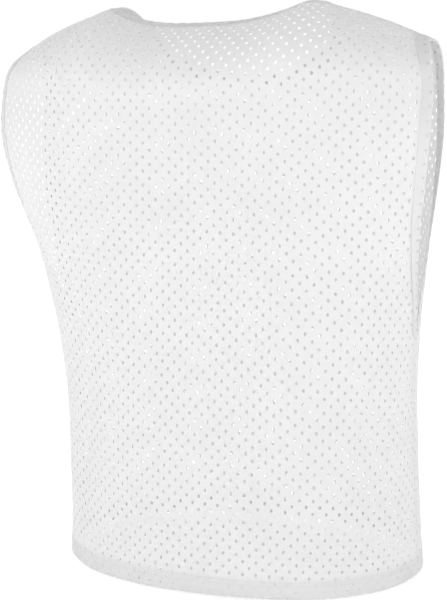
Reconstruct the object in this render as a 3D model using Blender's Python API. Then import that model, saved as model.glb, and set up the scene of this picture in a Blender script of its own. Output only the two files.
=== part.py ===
"""Sleeveless training bib of open-hole mesh cloth, hollow, in the form that it has when worn.

Metres, +Z up. The front faces -Y and the wearer's left is +X. The origin is midway between the two
high shoulder points, which is where the wearer holds the bib up.

Each place on a panel has two fabric coordinates, measured on the cloth laid flat. s runs across the
panel from its centre line, positive towards the wearer's left, and t runs up from the hem. point()
turns them into a place on the panel's outer face. The panels and the bands all take their points
from it, so they follow one another.
"""

from collections import namedtuple

import bpy
import numpy as np

# Cut of the bib
LENGTH = 0.600  # from the hem straight up to the high shoulder points
UNDERARM = 0.268  # t of the top end of the side seams
SHOULDER_TIP = 0.2372  # s of the outer end of the shoulder seams
NECK_HALF = 0.107  # half the width of the neck opening
NECK_LOW = {"back": 0.613, "front": 0.528}  # t of the neckline on the centre line
NECK_SQUARE = {"back": 0.0, "front": 0.5}  # 0 for an elliptical half, 0.5 for the squarest

# Cloth, bands and hem
WALL = 0.0012
HEM_WALL = 0.0022  # the hem is the same cloth, turned up inside
HEM_DEPTH = 0.020
BAND_WALL = 0.0022
BAND_WIDTH = 0.012
BAND_PROUD = 0.0005  # how far a band stands out from the panel's outer face
SEAM_GAP = 0.0005

ARMHOLE_RADIUS = 0.008  # height of the rounding at the bottom of an armhole
TIP_BLEND = 0.030  # the bands turn in line with the shoulder seam over this length

# How far the cloth's turn draws the shoulder seam in, for each metre cubed of s
SHOULDER_PULL = 0.80

# The level sections, from the hem up: how flat the back and front are in the middle, then for each
# panel half its width laid flat, the degrees it has turned by at its edge, and the edge's y. Up to
# the underarm the two panels share an edge, the side seam.
Section = namedtuple(
    "Section",
    "height flatness back_half back_turn back_edge front_half front_turn front_edge",
)
SECTIONS = (
    Section(0.000, 1.60, 0.2735, 90, -0.0460, 0.2735, 90, -0.0460),
    Section(0.120, 1.56, 0.2690, 90, -0.0452, 0.2690, 90, -0.0452),
    Section(0.220, 1.62, 0.2681, 90, -0.0369, 0.2681, 90, -0.0369),
    Section(0.268, 1.72, 0.2702, 90, -0.0299, 0.2702, 90, -0.0299),
    Section(0.300, 1.78, 0.2711, 89, -0.0238, 0.2726, 89, -0.0246),
    Section(0.340, 1.82, 0.2582, 76, -0.0004, 0.2705, 83, -0.0234),
    Section(0.380, 1.83, 0.2509, 62, 0.0215, 0.2667, 75, -0.0240),
    Section(0.420, 1.81, 0.2502, 51, 0.0352, 0.2607, 65, -0.0278),
    Section(0.475, 1.78, 0.2531, 45, 0.0425, 0.2500, 50, -0.0361),
    Section(0.525, 1.84, 0.2570, 52, 0.0320, 0.2430, 43, -0.0384),
    Section(0.580, 1.90, 0.2372, 56, 0.0330, 0.2372, 37, -0.0387),
)
UNDERARM_ROW = 3

# How much further than those sections the lower part of an armhole is cut into each panel, at each
# height above the underarm.
Cut = namedtuple("Cut", "height back front")
CUTS = (
    Cut(0.000, 0.0020, 0.0020),
    Cut(0.012, 0.0028, 0.0026),
    Cut(0.032, 0.0053, 0.0042),
    Cut(0.072, 0.0010, 0.0022),
    Cut(0.112, 0.0000, 0.0008),
    Cut(0.150, 0.0000, 0.0000),
)

# The crest over the shoulders, where the back meets the front: its height and its y above each s,
# and the height over which each panel bends from upright to level.
Crest = namedtuple("Crest", "s top y back_rise front_rise")
CRESTS = (
    Crest(0.000, -0.0140, 0.000, 0.070, 0.070),
    Crest(0.055, -0.0125, 0.000, 0.072, 0.071),
    Crest(0.088, -0.0060, 0.000, 0.074, 0.072),
    Crest(0.107, 0.0000, 0.000, 0.074, 0.070),
    Crest(0.135, -0.0065, -0.001, 0.068, 0.064),
    Crest(0.190, -0.0235, -0.005, 0.050, 0.048),
    Crest(0.245, -0.0450, -0.010, 0.030, 0.032),
)

# The largest folds: soft troughs (depth below 0) and ridges that run down a panel. across is a
# fold's s at its lower end, lean how far its upper end lies from there, width its half width.
Fold = namedtuple("Fold", "side across lean low high width depth")
FOLDS = (
    Fold("back", -0.072, 0.010, 0.030, 0.330, 0.020, -0.0035),
    Fold("back", -0.116, 0.014, 0.060, 0.400, 0.022, 0.0025),
    Fold("back", -0.186, -0.004, 0.020, 0.280, 0.020, -0.0035),
    Fold("back", 0.060, -0.010, 0.080, 0.260, 0.030, 0.0020),
    Fold("back", 0.150, -0.018, 0.020, 0.250, 0.022, -0.0030),
    Fold("back", 0.196, -0.012, 0.040, 0.300, 0.018, 0.0020),
    Fold("front", 0.085, -0.012, 0.020, 0.340, 0.022, -0.0035),
    Fold("front", 0.134, -0.016, 0.050, 0.390, 0.022, 0.0025),
    Fold("front", -0.045, 0.006, 0.070, 0.300, 0.028, 0.0020),
    Fold("front", -0.128, 0.016, 0.020, 0.290, 0.021, -0.0030),
    Fold("front", -0.190, 0.008, 0.030, 0.260, 0.018, 0.0020),
)
FOLD_ENDS = 0.35  # share of a fold's length over which each end fades

# Nets. A panel and the bands beside it have their points at the same places along the seam.
NECK_STATIONS = 20  # along each panel's half of the neckline
SHOULDER_COLUMNS = 9
BODY_ROWS = 9
BOTTOM_STATIONS = 6  # round each half of an armhole's bottom
SIDE_STATIONS = 18  # from there up to the shoulder seam
CROWDING = 0.45  # how much closer together the last of them are, at both ends
STEP = 0.0005  # the small move from which a face's direction is measured

OTHER = {"back": "front", "front": "back"}
OUTWARD = {"back": 1.0, "front": -1.0}  # the way that a panel faces, along Y
NODES, WEIGHTS = np.polynomial.legendre.leggauss(16)
NODES = (NODES + 1) / 2
WEIGHTS = WEIGHTS / 2


# ---------------------------------------------------------------- smooth curves through the tables


def column(table, name):
    """One named column of a table, as an array."""
    return np.array([getattr(row, name) for row in table], float)


def knot_slopes(knots, values):
    """The slope of a smooth curve at each of its knots."""
    step = np.diff(knots)
    rise = np.diff(values) / step
    inner = (rise[:-1] * step[1:] + rise[1:] * step[:-1]) / (step[1:] + step[:-1])
    return np.concatenate([rise[:1], inner, rise[-1:]])


def curve(at, knots, values, slopes):
    """The smooth curve through the knots, at each place in at. It is level past its ends."""
    at = np.clip(at, knots[0], knots[-1])
    i = np.clip(np.searchsorted(knots, at, side="right") - 1, 0, len(knots) - 2)
    step = (knots[1:] - knots[:-1])[i]
    u = (at - knots[i]) / step
    start = (1 + 2 * u) * (1 - u) ** 2 * values[i] + u * (1 - u) ** 2 * step * slopes[i]
    end = u * u * (3 - 2 * u) * values[i + 1] - u * u * (1 - u) * step * slopes[i + 1]
    return start + end


def crest_size(name, s):
    """A size of the crest above s."""
    knots, values = column(CRESTS, "s"), column(CRESTS, name)
    return curve(np.abs(s), knots, values, knot_slopes(knots, values))


def section_size(side, name, t):
    """A size of one panel's section at t. Below the underarm it is the same on both panels."""
    knots, values = column(SECTIONS, "height"), column(SECTIONS, f"{side}_{name}")
    slopes = knot_slopes(knots, values)
    across = knot_slopes(knots, column(SECTIONS, f"{OTHER[side]}_{name}"))
    slopes[UNDERARM_ROW] = (slopes[UNDERARM_ROW] + across[UNDERARM_ROW]) / 2
    return curve(t, knots, values, slopes)


def flatness(t):
    knots, values = column(SECTIONS, "height"), column(SECTIONS, "flatness")
    return curve(t, knots, values, knot_slopes(knots, values))


# ---------------------------------------------------------------- form of the cloth


def fold_height(side, s, t):
    """How far the folds lift the cloth at (s, t)."""
    lift = np.zeros_like(s)
    for fold in FOLDS:
        if fold.side != side:
            continue
        along = (t - fold.low) / (fold.high - fold.low)
        ends = np.clip(np.minimum(along, 1 - along) / FOLD_ENDS, 0, 1)
        ends = ends * ends * (3 - 2 * ends)
        off = (s - fold.across - fold.lean * along) / fold.width
        lift += fold.depth * ends * np.exp(-off * off)
    return lift


def level_point(side, s, t):
    """x and y of the cloth at (s, t), before it bends over the shoulders. The cloth turns from
    facing straight back or forward at the centre line to its full turn at the panel's edge."""
    half = section_size(side, "half", t)
    turn = np.radians(section_size(side, "turn", t))
    power = flatness(t)
    across = np.abs(s)

    def travel(length, part):
        share = length[..., None] * NODES / half[..., None]
        return length * (part(turn[..., None] * share ** power[..., None]) @ WEIGHTS)

    facing = turn * (across / half) ** power
    lift = fold_height(side, s, t)
    x = travel(across, np.cos) + lift * np.sin(facing)
    y = travel(half, np.sin) - travel(across, np.sin) + lift * np.cos(facing)
    return np.sign(s) * x, section_size(side, "edge", t) + OUTWARD[side] * y


def crest_form(side, s):
    """For each s: the t where the bend over the shoulder starts, its rise, its reach, and the x
    and y of the crest."""
    rise = crest_size(f"{side}_rise", s)
    start = LENGTH + crest_size("top", s) - rise
    crest_y = crest_size("y", s)
    body_y = level_point(side, s, start)[1]
    return start, rise, np.abs(body_y - crest_y), s - SHOULDER_PULL * s**3, crest_y


def bend_length(rise, reach, angle):
    """Length of cloth from the start of the bend to the given angle round it."""
    return rise * angle + (reach - rise) * (angle / 2 - np.sin(2 * angle) / 4)


def bend_angle(rise, reach, length):
    """The angle round the bend at which that length of cloth is used, by Newton's method."""
    angle = 2 * length / (rise + reach)
    for _ in range(8):
        slope = rise + (reach - rise) * np.sin(angle) ** 2
        angle = np.clip(angle - (bend_length(rise, reach, angle) - length) / slope, 0, np.pi / 2)
    return angle


def shoulder_top(side, s):
    """t of the crest, where the shoulder seam lies."""
    start, rise, reach, _, _ = crest_form(side, np.asarray(s, float))
    return start + bend_length(rise, reach, np.pi / 2)


def point(side, s, t):
    """The place of (s, t) on the outer face of a panel."""
    s, t = np.broadcast_arrays(np.asarray(s, float), np.asarray(t, float))
    x, y = level_point(side, s, t)
    start, rise, reach, crest_x, crest_y = crest_form(side, s)
    angle = bend_angle(rise, reach, np.maximum(t - start, 0))
    x = crest_x + (x - crest_x) * np.cos(angle)
    y = crest_y + (y - crest_y) * np.cos(angle)
    z = np.minimum(t, start) + rise * np.sin(angle) - LENGTH
    return np.stack([x, y, z], axis=-1)


def outward(side, s, t):
    """The unit direction that the outer face has at (s, t)."""
    s, t = np.broadcast_arrays(np.asarray(s, float), np.asarray(t, float))
    low = np.maximum(t - STEP, 0)
    up = point(side, s, low + STEP) - point(side, s, low)
    across = point(side, s + STEP, t) - point(side, s - STEP, t)
    normal = np.cross(up, across) * OUTWARD[side]
    return normal / np.linalg.norm(normal, axis=-1, keepdims=True)


# ---------------------------------------------------------------- outline of the pieces


def neck_line(side, inset):
    """s and t of the neckline, moved into the cloth by inset, from the wearer's right high
    shoulder point to the left one."""
    angle = np.linspace(-np.pi / 2, np.pi / 2, NECK_STATIONS + 1)
    half = NECK_HALF + inset
    low = NECK_LOW[side] - inset
    high = float(shoulder_top(side, half))
    s = half * np.sin(angle) * (1 + NECK_SQUARE[side] * np.cos(angle) ** 2)
    t = low + (high - low) * (1 - np.cos(angle))
    return s, np.minimum(t, shoulder_top(side, s))


def armhole_half(side, height):
    """Half the width of the armhole's opening, on the cloth, at a height above its bottom."""
    cut = section_size(side, "half", UNDERARM) - section_size(side, "half", UNDERARM + height)
    knots, values = column(CUTS, "height"), column(CUTS, side)
    cut += curve(height, knots, values, knot_slopes(knots, values))
    rounding = np.clip(1 - height / ARMHOLE_RADIUS, 0, 1)
    return cut * np.sqrt(1 - rounding**2)


def armhole_side(side):
    """v and t along one panel's half of an armhole, from its bottom to the shoulder seam. v is the
    distance from the line of the side seam, positive on the back."""
    top = float(shoulder_top(side, SHOULDER_TIP)) - UNDERARM
    bottom = ARMHOLE_RADIUS * (1 - np.cos(np.linspace(0, np.pi / 2, BOTTOM_STATIONS + 1)))
    share = np.linspace(0, 1, SIDE_STATIONS + 1)[1:]
    share = share - CROWDING * np.sin(2 * np.pi * share) / (2 * np.pi)
    height = np.concatenate([bottom, ARMHOLE_RADIUS + (top - ARMHOLE_RADIUS) * share])
    v = armhole_half(side, height)
    v[-1] = section_size(side, "half", UNDERARM) - SHOULDER_TIP
    return OUTWARD[side] * v, UNDERARM + height


def armhole_line(inset):
    """v and t along a whole armhole, moved into the cloth by inset, from the shoulder seam down
    the back, round the bottom and up the front. At the shoulder it moves along the seam."""
    back_v, back_t = armhole_side("back")
    front_v, front_t = armhole_side("front")
    v = np.concatenate([back_v[::-1], front_v[1:]])
    t = np.concatenate([back_t[::-1], front_t[1:]])
    along_v, along_t = np.gradient(v), np.gradient(t)
    length = np.hypot(along_v, along_t)
    into = np.stack([-along_t, along_v], axis=-1) * inset / length[:, None]
    into[len(back_v) - 1] = (0, -inset)
    for side in ("back", "front"):
        mine = OUTWARD[side] * v >= 0
        top = float(shoulder_top(side, SHOULDER_TIP))
        step_up = float(shoulder_top(side, SHOULDER_TIP - inset)) - top
        seam = np.array([OUTWARD[side] * inset, step_up])
        near = np.clip(1 - (top - t) / TIP_BLEND, 0, 1)[:, None] * mine[:, None]
        near = near * near * (3 - 2 * near)
        into = into * (1 - near) + seam * near
    return v + into[:, 0], t + into[:, 1]


def armhole_half_line(side, inset):
    """s and t of one panel's half of an armhole line, on the +X side, from the bottom up."""
    v, t = armhole_line(inset)
    bottom = len(v) // 2
    v, t = (v[bottom::-1], t[bottom::-1]) if side == "back" else (v[bottom:], t[bottom:])
    s = section_size("back", "half", np.minimum(t, UNDERARM)) - np.abs(v)
    return s, np.minimum(t, shoulder_top(side, s))


# ---------------------------------------------------------------- solids


def closed_mesh(name, vertices, faces, material):
    """An object from points and faces, with its faces turned outwards and shaded smooth."""
    mesh = bpy.data.meshes.new(name)
    mesh.from_pydata([tuple(v) for v in vertices], [], faces)
    mesh.update()
    obj = bpy.data.objects.new(name, mesh)
    bpy.context.scene.collection.objects.link(obj)
    mesh.materials.append(material)
    mesh.shade_smooth()
    mesh.set_sharp_from_angle(angle=np.radians(40))
    return obj


def split_quad(quad, points):
    """Two triangles for a quad, cut along its shorter diagonal."""
    a, b, c, d = quad
    if np.linalg.norm(points[a] - points[c]) <= np.linalg.norm(points[b] - points[d]):
        return (a, b, c), (a, c, d)
    return (a, b, d), (b, c, d)


def sheet_solid(name, outer, inner, material):
    """A wall between two nets of points with the same rows and columns. The outer net's rows run
    anticlockwise as seen from outside."""
    rows, columns = outer.shape[:2]
    vertices = np.concatenate([outer.reshape(-1, 3), inner.reshape(-1, 3)])
    back = rows * columns
    faces = []
    for i in range(rows - 1):
        for j in range(columns - 1):
            a = i * columns + j
            for face in split_quad((a, a + 1, a + columns + 1, a + columns), vertices):
                faces.append(face)
                faces.append(tuple(k + back for k in reversed(face)))
    rim = list(range(columns))
    rim += [i * columns + columns - 1 for i in range(1, rows)]
    rim += [(rows - 1) * columns + j for j in range(columns - 2, -1, -1)]
    rim += [i * columns for i in range(rows - 2, 0, -1)]
    for k, a in enumerate(rim):
        b = rim[(k + 1) % len(rim)]
        faces.append((b, a, a + back, b + back))
    return closed_mesh(name, vertices, faces, material)


def ring_solid(name, sections, material):
    """A closed ring through sections, each a loop of points in the same order."""
    count, corners = sections.shape[:2]
    faces = []
    for i in range(count):
        for j in range(corners):
            a, b = i * corners + j, i * corners + (j + 1) % corners
            c, d = (b + corners) % (count * corners), (a + corners) % (count * corners)
            faces.append((a, d, c, b))
    return closed_mesh(name, sections.reshape(-1, 3), faces, material)


def panel(side, material):
    """One panel: a net between the hem, the side and armhole edges, the shoulder seams and the
    neckline. Its upper rows start at the stations of the armhole."""
    seam = SEAM_GAP / 2
    edge_s, edge_t = armhole_half_line(side, BAND_WIDTH + SEAM_GAP)
    tip_s, tip_t = edge_s[-1], edge_t[-1] - seam
    hem_rows = [0.0, HEM_DEPTH / 2, HEM_DEPTH - STEP, HEM_DEPTH + STEP]
    body_rows = np.linspace(HEM_DEPTH, edge_t[0], BODY_ROWS + 1)[1:-1]
    rows = np.concatenate([hem_rows, body_rows, edge_t[:-1], [tip_t]])
    side_s = section_size(side, "half", rows) - seam
    half = np.concatenate([side_s[: len(rows) - len(edge_s)], edge_s])
    half = np.minimum(half, side_s)

    neck_s, neck_t = neck_line(side, BAND_WIDTH + SEAM_GAP)
    shoulder_s = np.linspace(neck_s[-1], tip_s, SHOULDER_COLUMNS + 1)[1:]
    shoulder_t = shoulder_top(side, shoulder_s) - seam
    top_s = np.concatenate([-shoulder_s[::-1], neck_s, shoulder_s])
    top_t = np.concatenate([shoulder_t[::-1], neck_t, shoulder_t])
    top_t = np.minimum(top_t, shoulder_top(side, top_s) - seam)

    share = top_s / tip_s
    s = share * tip_s + share**3 * (half[:, None] - tip_s)
    up = (rows / tip_t)[:, None]
    t = up * (tip_t + (top_t - tip_t) * up**2)
    outer = point(side, s, t)
    wall = np.where(t < HEM_DEPTH, HEM_WALL, WALL)
    inner = outer - outward(side, s, t) * wall[..., None]
    if side == "back":
        outer, inner = outer[:, ::-1], inner[:, ::-1]
    return sheet_solid(f"{side}_panel", outer, inner, material)


def band_sections(place, normal, inner_place, inner_normal):
    """The sections of a band between its finished edge and its seam with the panel."""
    out, under = BAND_PROUD, BAND_PROUD - BAND_WALL
    middle = (place + inner_place) / 2
    middle_normal = (normal + inner_normal) / 2
    return np.stack(
        [
            place + normal * out,
            middle + middle_normal * out,
            inner_place + inner_normal * out,
            inner_place + inner_normal * under,
            middle + middle_normal * under,
            place + normal * under,
        ],
        axis=1,
    )


def band_half(side, finished, seam):
    """The sections of a band along one panel, from the s and t of its two long edges."""
    place, inner_place = point(side, *finished), point(side, *seam)
    return band_sections(place, outward(side, *finished), inner_place, outward(side, *seam))


def neck_band(material):
    """The band round the neck: along the back neckline, then back along the front one."""
    back = band_half("back", neck_line("back", 0), neck_line("back", BAND_WIDTH))
    front = band_half("front", neck_line("front", 0), neck_line("front", BAND_WIDTH))
    return ring_solid("neck_band", np.concatenate([back[:-1], front[:0:-1]]), material)


def armhole_band(name, mirror, material):
    """The band round one armhole: up the back from the bottom, then down the front. mirror is 1
    on the wearer's left and -1 on the right."""
    halves = []
    for side in ("back", "front"):
        finished = armhole_half_line(side, 0)
        halves.append(band_half(side, finished, armhole_half_line(side, BAND_WIDTH)))
    sections = np.concatenate([halves[0][:-1], halves[1][:0:-1]]) * np.array([mirror, 1, 1])
    return ring_solid(name, sections[::-mirror], material)


# ---------------------------------------------------------------- materials and assembly


def cloth_material(name, colour, roughness):
    material = bpy.data.materials.new(name)
    material.use_nodes = True
    shader = material.node_tree.nodes["Principled BSDF"]
    shader.inputs["Base Color"].default_value = (*colour, 1.0)
    shader.inputs["Roughness"].default_value = roughness
    shader.inputs["Metallic"].default_value = 0.0
    material.diffuse_color = (*colour, 1.0)
    return material


def clear_scene():
    for obj in list(bpy.data.objects):
        bpy.data.objects.remove(obj, do_unlink=True)


def main():
    clear_scene()
    mesh_cloth = cloth_material("white_mesh_cloth", (0.90, 0.90, 0.90), 0.75)
    band_cloth = cloth_material("white_band_cloth", (0.87, 0.87, 0.87), 0.80)
    pieces = [
        panel("front", mesh_cloth),
        panel("back", mesh_cloth),
        neck_band(band_cloth),
        armhole_band("armhole_band_left", 1, band_cloth),
        armhole_band("armhole_band_right", -1, band_cloth),
    ]
    holder = bpy.data.objects.new("training_bib", None)
    bpy.context.scene.collection.objects.link(holder)
    for piece in pieces:
        piece.parent = holder


main()
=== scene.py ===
"""Looks of the training bib: white open-hole mesh cloth, folded neck and armhole strips, turned-up hem.

Metres, +Z up. The front faces -Y and the wearer's left is +X. As in the part, a place on a panel has
two fabric coordinates: s runs across from the centre line, and t runs up from the hem's fold. Below
the fold t goes on below 0, into the part of the cloth that is turned up inside. A strip has two of
its own: one runs along it, and w runs across it from its fold, positive on the outside.
"""

from collections import namedtuple

import bpy
import numpy as np
from mathutils import Matrix, Vector
from mathutils.geometry import delaunay_2d_cdt


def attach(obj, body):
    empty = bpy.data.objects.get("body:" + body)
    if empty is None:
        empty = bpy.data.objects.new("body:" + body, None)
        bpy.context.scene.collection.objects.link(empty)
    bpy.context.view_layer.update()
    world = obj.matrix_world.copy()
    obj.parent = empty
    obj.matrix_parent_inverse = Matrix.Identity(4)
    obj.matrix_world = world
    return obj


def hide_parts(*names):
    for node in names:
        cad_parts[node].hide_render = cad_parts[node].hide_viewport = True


# ---------------------------------------------------------------- sizes that the part has too

LENGTH = 0.600
UNDERARM = 0.268
SHOULDER_TIP = 0.2372
NECK_HALF = 0.107
NECK_LOW = {"back": 0.613, "front": 0.528}
NECK_SQUARE = {"back": 0.0, "front": 0.5}
BAND_WIDTH = 0.012
HEM_DEPTH = 0.020
ARMHOLE_RADIUS = 0.008
TIP_BLEND = 0.030
SHOULDER_PULL = 0.80

# The level sections, from the hem up: how flat the back and front are in the middle, then for each
# panel half its width laid flat, the degrees it has turned by at its edge, and the edge's y
Section = namedtuple(
    "Section",
    "height flatness back_half back_turn back_edge front_half front_turn front_edge",
)
SECTIONS = (
    Section(0.000, 1.60, 0.2735, 90, -0.0460, 0.2735, 90, -0.0460),
    Section(0.120, 1.56, 0.2690, 90, -0.0452, 0.2690, 90, -0.0452),
    Section(0.220, 1.62, 0.2681, 90, -0.0369, 0.2681, 90, -0.0369),
    Section(0.268, 1.72, 0.2702, 90, -0.0299, 0.2702, 90, -0.0299),
    Section(0.300, 1.78, 0.2711, 89, -0.0238, 0.2726, 89, -0.0246),
    Section(0.340, 1.82, 0.2582, 76, -0.0004, 0.2705, 83, -0.0234),
    Section(0.380, 1.83, 0.2509, 62, 0.0215, 0.2667, 75, -0.0240),
    Section(0.420, 1.81, 0.2502, 51, 0.0352, 0.2607, 65, -0.0278),
    Section(0.475, 1.78, 0.2531, 45, 0.0425, 0.2500, 50, -0.0361),
    Section(0.525, 1.84, 0.2570, 52, 0.0320, 0.2430, 43, -0.0384),
    Section(0.580, 1.90, 0.2372, 56, 0.0330, 0.2372, 37, -0.0387),
)
UNDERARM_ROW = 3

# How much further the lower part of an armhole is cut into each panel, at each height above the
# underarm
Cut = namedtuple("Cut", "height back front")
CUTS = (
    Cut(0.000, 0.0020, 0.0020),
    Cut(0.012, 0.0028, 0.0026),
    Cut(0.032, 0.0053, 0.0042),
    Cut(0.072, 0.0010, 0.0022),
    Cut(0.112, 0.0000, 0.0008),
    Cut(0.150, 0.0000, 0.0000),
)

# The crest over the shoulders: its height and its y above each s, and the height over which each
# panel bends from upright to level
Crest = namedtuple("Crest", "s top y back_rise front_rise")
CRESTS = (
    Crest(0.000, -0.0140, 0.000, 0.070, 0.070),
    Crest(0.055, -0.0125, 0.000, 0.072, 0.071),
    Crest(0.088, -0.0060, 0.000, 0.074, 0.072),
    Crest(0.107, 0.0000, 0.000, 0.074, 0.070),
    Crest(0.135, -0.0065, -0.001, 0.068, 0.064),
    Crest(0.190, -0.0235, -0.005, 0.050, 0.048),
    Crest(0.245, -0.0450, -0.010, 0.030, 0.032),
)

# The largest folds: soft troughs (depth below 0) and ridges that run down a panel. across is a
# fold's s at its lower end, lean how far its upper end lies from there, width its half width.
Fold = namedtuple("Fold", "side across lean low high width depth")
FOLDS = (
    Fold("back", -0.072, 0.010, 0.030, 0.330, 0.020, -0.0035),
    Fold("back", -0.116, 0.014, 0.060, 0.400, 0.022, 0.0025),
    Fold("back", -0.186, -0.004, 0.020, 0.280, 0.020, -0.0035),
    Fold("back", 0.060, -0.010, 0.080, 0.260, 0.030, 0.0020),
    Fold("back", 0.150, -0.018, 0.020, 0.250, 0.022, -0.0030),
    Fold("back", 0.196, -0.012, 0.040, 0.300, 0.018, 0.0020),
    Fold("front", 0.085, -0.012, 0.020, 0.340, 0.022, -0.0035),
    Fold("front", 0.134, -0.016, 0.050, 0.390, 0.022, 0.0025),
    Fold("front", -0.045, 0.006, 0.070, 0.300, 0.028, 0.0020),
    Fold("front", -0.128, 0.016, 0.020, 0.290, 0.021, -0.0030),
    Fold("front", -0.190, 0.008, 0.030, 0.260, 0.018, 0.0020),
)
FOLD_ENDS = 0.35  # share of a fold's or a crease's length over which each end fades

# ---------------------------------------------------------------- sizes of the cloth's finer form

CLOTH = 0.00045  # thickness of the knit
LAYER_GAP = 0.0002  # between two layers sewn together
TUCK = 0.0020  # how far a panel's edge goes in between a strip's two layers

# The knit's holes: a lattice with one in the middle of each cell
PITCH_ACROSS = 0.01377
PITCH_UP = 0.01398
HOLE_ACROSS = 0.0030
HOLE_UP = 0.0041
HOLE_CORNERS = 8
HOLE_MARGIN = 0.0007  # least cloth between a hole and a cut edge
EDGE_STEP = 0.004  # spacing of the points along a cut edge
SHARP_BEND = np.radians(30)  # a cut edge keeps its points where it turns by more than this
LATTICE_REACH = 1.2  # how far the lattice goes each way from its first hole, over a cut's size
MERGE_DISTANCE = 1e-7  # points nearer than this become one
LEAST_AREA = 0.5e-12  # of a triangle that is kept
CALM_EDGE = 0.03  # the swells die out over this much cloth at a panel's edge
EDGE_ANGLE = np.radians(50)  # faces that meet at more than this show a sharp edge

# Points along the lines that the cloth and the sewing follow
BOTTOM_POINTS = 13  # each half of an armhole's bottom
ARMHOLE_POINTS = 80  # from there up to the shoulder seam
SIDE_POINTS = 60
NECK_POINTS = 60
SHOULDER_POINTS = 40
STRIP_POINTS = 81  # each panel's half of the neck strip
HEM_POINTS = 180

# How the knit lies in each cut: the place of one hole, the degrees by which its rows rise towards
# +s and its columns lean towards -s, and how far the rows bow down to both sides, for each metre
# squared
Grain = namedtuple("Grain", "s t rise lean bow")
GRAINS = {
    "back": Grain(-0.0116, 0.3134, 5.5, 3.8, -0.16),
    "front": Grain(0.0030, 0.3120, -2.2, -2.0, 0.10),
    "neck_strip": Grain(0.0040, 0.0045, 1.2, 1.2, 0.0),
    "armhole_strip_left": Grain(0.0060, 0.0020, 1.1, 1.0, 0.0),
    "armhole_strip_right": Grain(0.0060, 0.0035, 0.2, 0.8, 0.0),
}

# Slow drifts of the knit within a cut: waves per metre along its rows and columns, start in
# radians, and how far they reach across and up
Drift = namedtuple("Drift", "cut rows columns start across up")
DRIFTS = (
    Drift("back", 0.6, 1.8, 4.3, 0.0020, -0.0042),
    Drift("back", -1.9, 0.4, 4.1, -0.0017, -0.0070),
    Drift("back", 3.4, 1.9, 0.8, -0.0016, -0.0007),
    Drift("front", 0.8, 1.5, 1.0, 0.0018, 0.0032),
    Drift("front", 2.1, -0.5, 2.6, 0.0015, 0.0050),
    Drift("front", -3.2, 2.0, 5.1, 0.0014, 0.0008),
)

# Smaller creases than the part's folds: from (s0, t0) to (s1, t1), half width, depth
Crease = namedtuple("Crease", "side s0 t0 s1 t1 width depth")
CREASES = (
    Crease("back", -0.222, 0.560, -0.190, 0.590, 0.006, -0.0016),
    Crease("back", -0.205, 0.500, -0.170, 0.575, 0.012, 0.0010),
    Crease("back", 0.215, 0.545, 0.165, 0.600, 0.010, -0.0012),
    Crease("back", -0.020, 0.020, -0.030, 0.150, 0.014, -0.0010),
    Crease("back", 0.105, 0.020, 0.090, 0.160, 0.012, -0.0012),
    Crease("back", -0.235, 0.120, -0.215, 0.300, 0.012, -0.0012),
    Crease("back", 0.238, 0.150, 0.205, 0.290, 0.010, -0.0012),
    Crease("back", 0.010, 0.330, 0.080, 0.470, 0.030, 0.0012),
    Crease("back", -0.090, 0.420, -0.040, 0.540, 0.026, -0.0010),
    Crease("front", 0.220, 0.550, 0.180, 0.590, 0.007, -0.0014),
    Crease("front", -0.212, 0.540, -0.165, 0.595, 0.009, -0.0012),
    Crease("front", 0.020, 0.020, 0.030, 0.140, 0.014, -0.0010),
    Crease("front", -0.088, 0.020, -0.080, 0.150, 0.012, -0.0010),
    Crease("front", 0.232, 0.130, 0.214, 0.300, 0.012, -0.0012),
    Crease("front", -0.236, 0.140, -0.206, 0.290, 0.010, -0.0012),
    Crease("front", -0.060, 0.300, 0.020, 0.430, 0.028, 0.0010),
    Crease("front", 0.095, 0.400, 0.050, 0.490, 0.024, -0.0010),
)

# Slow swells over the whole cloth: waves per metre across and up, start in radians, and height
Swell = namedtuple("Swell", "side across up start height")
SWELLS = (
    Swell("back", 5.2, 3.1, 0.4, 0.0006),
    Swell("back", -8.3, 5.7, 2.1, 0.0004),
    Swell("back", 11.9, 2.2, 4.0, 0.0003),
    Swell("front", 4.6, -3.7, 1.3, 0.0006),
    Swell("front", 8.9, 5.1, 5.2, 0.0004),
    Swell("front", -12.4, 2.9, 3.1, 0.0003),
)

# Sewing
STITCH_LENGTH = 0.0024  # of the thread that shows
STITCH_PITCH = 0.0031
STITCH_THICK = 0.00042
HEM_STITCHES = (0.0130, 0.0172)  # t of the hem's two rows
SEAM_STITCHES = 0.0016  # from a strip's seam to its row on the panel
STITCH_CORNERS = 6
STITCH_RISE = (0.15, 0.75, 1.0, 0.75, 0.15)  # along a stitch, over half its thickness
STITCH_ROUND = (0.35, 0.9, 1.0, 0.9, 0.35)  # half thickness along a stitch, over its greatest
ALLOWANCE = 0.006  # width of the cloth turned in at a sewn seam
ALLOWANCE_END = 0.004  # from an armhole's bottom down to the end of a side seam's allowance

# Corners of a seam allowance's section: share of its width, and 0 on its face towards the panel or
# 1 on the other
Corner = namedtuple("Corner", "across face")
ALLOWANCE_CORNERS = (
    Corner(0.0, 0.0),
    Corner(0.35, 0.0),
    Corner(0.7, 0.0),
    Corner(1.0, 0.0),
    Corner(1.0, 1.0),
    Corner(0.5, 1.0),
    Corner(0.0, 1.0),
)
ALLOWANCE_CELL = (0.004, 0.002)  # a step along the seam and one across it, on the flat cloth

# ---------------------------------------------------------------- surface of the cloth and thread

WALE_SCALE = 95.0
WALE_WANDER = 1.2
COURSE_SCALE = 130.0
COURSE_WANDER = 1.5
YARN_SCALE = 900.0
YARN_SHARE = 0.35  # of the yarn's fuzz in the relief
TONE_SCALE = 18.0
TONE_RANGE = (0.3, 0.7)  # of the slow noise between the darker and the full tone
DARKER = 0.975
KNIT_RELIEF = 0.0002
KNIT_RELIEF_STRENGTH = 0.35
THREAD_TONE = 0.90
TWIST_SCALE = 900.0
THREAD_RELIEF = 0.0001
THREAD_RELIEF_STRENGTH = 0.4

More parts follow.
